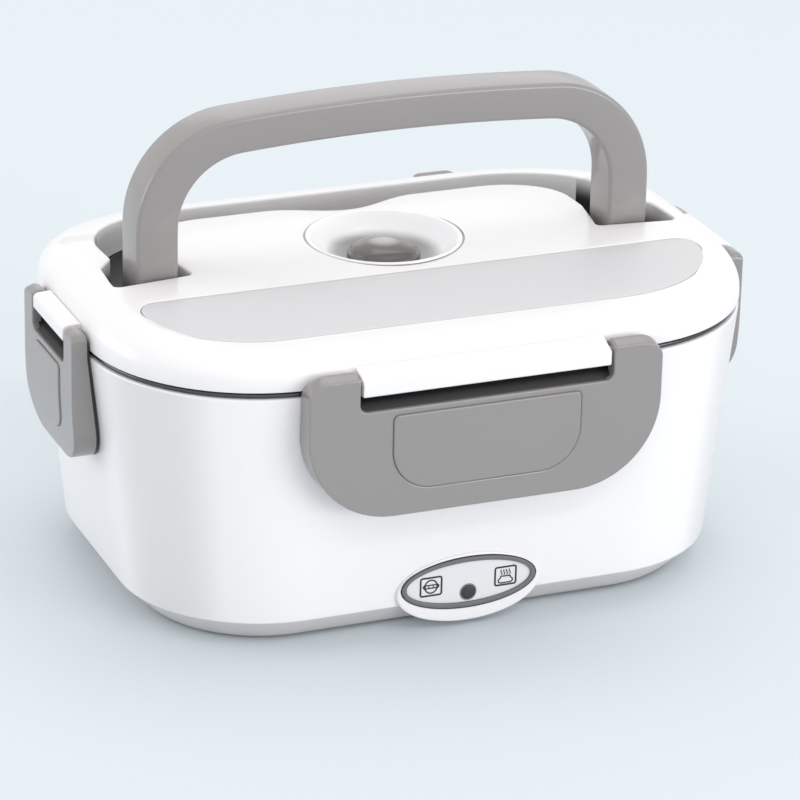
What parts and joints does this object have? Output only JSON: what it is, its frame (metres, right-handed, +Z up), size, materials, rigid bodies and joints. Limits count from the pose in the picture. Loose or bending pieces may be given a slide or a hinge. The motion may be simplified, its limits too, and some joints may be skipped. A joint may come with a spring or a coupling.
{
  "type": "electric lunch box",
  "caption": "Heated lunch box with rounded corners, steel container, lift-off lid held by side latches, folding carry handle, steam vent and cutlery compartment.",
  "frame": {"origin": "on the table, under the middle of the rubber feet", "axes": "+Z up, -Y towards the front with the indicator, +X to the right seen from the front"},
  "size_m": [0.2438, 0.1774, 0.1644],
  "materials": {
    "white_shell": "glossy moulded plastic",
    "grey_base": "satin moulded plastic",
    "grey_plastic": "satin moulded plastic",
    "inner_white": "satin moulded plastic",
    "clear_plastic": "clear moulded plastic",
    "frosted_plastic": "frosted moulded plastic",
    "silicone": "soft silicone",
    "dark_rubber": "matt rubber",
    "stainless": "brushed stainless steel",
    "plain_steel": "zinc-plated steel",
    "aluminium": "bare aluminium",
    "dark_plastic": "matt black plastic",
    "dark_ring": "glossy dark grey plastic",
    "panel_light": "satin light grey plastic",
    "lamp": "dark clear plastic",
    "board_green": "green circuit board",
    "wire_red": "insulated copper wire",
    "fuse_case": "glazed ceramic"
  },
  "bodies": {
    "base": {"outer_shell": "white_shell", "inner_liner": "inner_white", "base_cover": "grey_base", "rubber_feet": "dark_rubber", "base_screws": "plain_steel", "heater_plate": "aluminium", "ptc_heater": "aluminium", "heater_clamp": "plain_steel", "clamp_screws": "plain_steel", "thermostat": "plain_steel", "thermal_fuse": "fuse_case", "heat_shield": "aluminium", "power_inlet": "dark_plastic", "inlet_pins": "plain_steel", "panel_bezel": "dark_ring", "panel_face": "panel_light", "panel_icons": "dark_plastic", "led_lens": "lamp", "led_board": "board_green", "wiring": "wire_red"},
    "container": {"steel_container": "stainless"},
    "lid": {"lid_shell": "white_shell", "lid_liner": "inner_white", "lid_seal": "silicone", "vent_cup": "clear_plastic", "cutlery_tray": "inner_white", "cover_hinge_pins": "plain_steel", "handle_pins": "plain_steel", "latch_pins": "plain_steel"},
    "handle": {"handle": "grey_plastic"},
    "vent_plug": {"vent_plug": "silicone"},
    "cutlery_cover": {"cutlery_cover": "frosted_plastic"},
    "front_latch": {"front_latch": "grey_plastic"},
    "rear_latch": {"rear_latch": "grey_plastic"},
    "left_latch": {"left_latch": "grey_plastic"},
    "right_latch": {"right_latch": "grey_plastic"}
  },
  "joints": [
    {"name": "lid_lift", "type": "slide", "parent": "base", "child": "lid", "axis": [0, 0, 1], "range_m": [0, 0.16]},
    {"name": "container_lift", "type": "slide", "parent": "base", "child": "container", "axis": [0, 0, 1], "range_m": [0, 0.08]},
    {"name": "front_latch_swing", "type": "hinge", "parent": "lid", "child": "front_latch", "pos_m": [0, -0.0844, 0.0967], "axis": [-1, 0, 0], "range_deg": [0, 110]},
    {"name": "right_latch_swing", "type": "hinge", "parent": "lid", "child": "right_latch", "pos_m": [0.1184, 0, 0.0975], "axis": [0, -1, 0], "range_deg": [0, 110]},
    {"name": "rear_latch_swing", "type": "hinge", "parent": "lid", "child": "rear_latch", "pos_m": [0, 0.0844, 0.0967], "axis": [1, 0, 0], "range_deg": [0, 110]},
    {"name": "left_latch_swing", "type": "hinge", "parent": "lid", "child": "left_latch", "pos_m": [-0.1184, 0, 0.0975], "axis": [0, 1, 0], "range_deg": [0, 110]},
    {"name": "handle_fold", "type": "hinge", "parent": "lid", "child": "handle", "pos_m": [0, 0.00075, 0.102], "axis": [-1, 0, 0], "range_deg": [0, 90]},
    {"name": "cutlery_cover_swing", "type": "hinge", "parent": "lid", "child": "cutlery_cover", "pos_m": [0, -0.0276, 0.10784], "axis": [-1, 0, 0], "range_deg": [0, 95]},
    {"name": "vent_plug_pull", "type": "slide", "parent": "lid", "child": "vent_plug", "axis": [0, 0, 1], "range_m": [0, 0.008]}
  ],
  "couplings": [
    {"joint": "container_lift", "follows": "lid_lift", "ratio": 0.5}
  ]
}
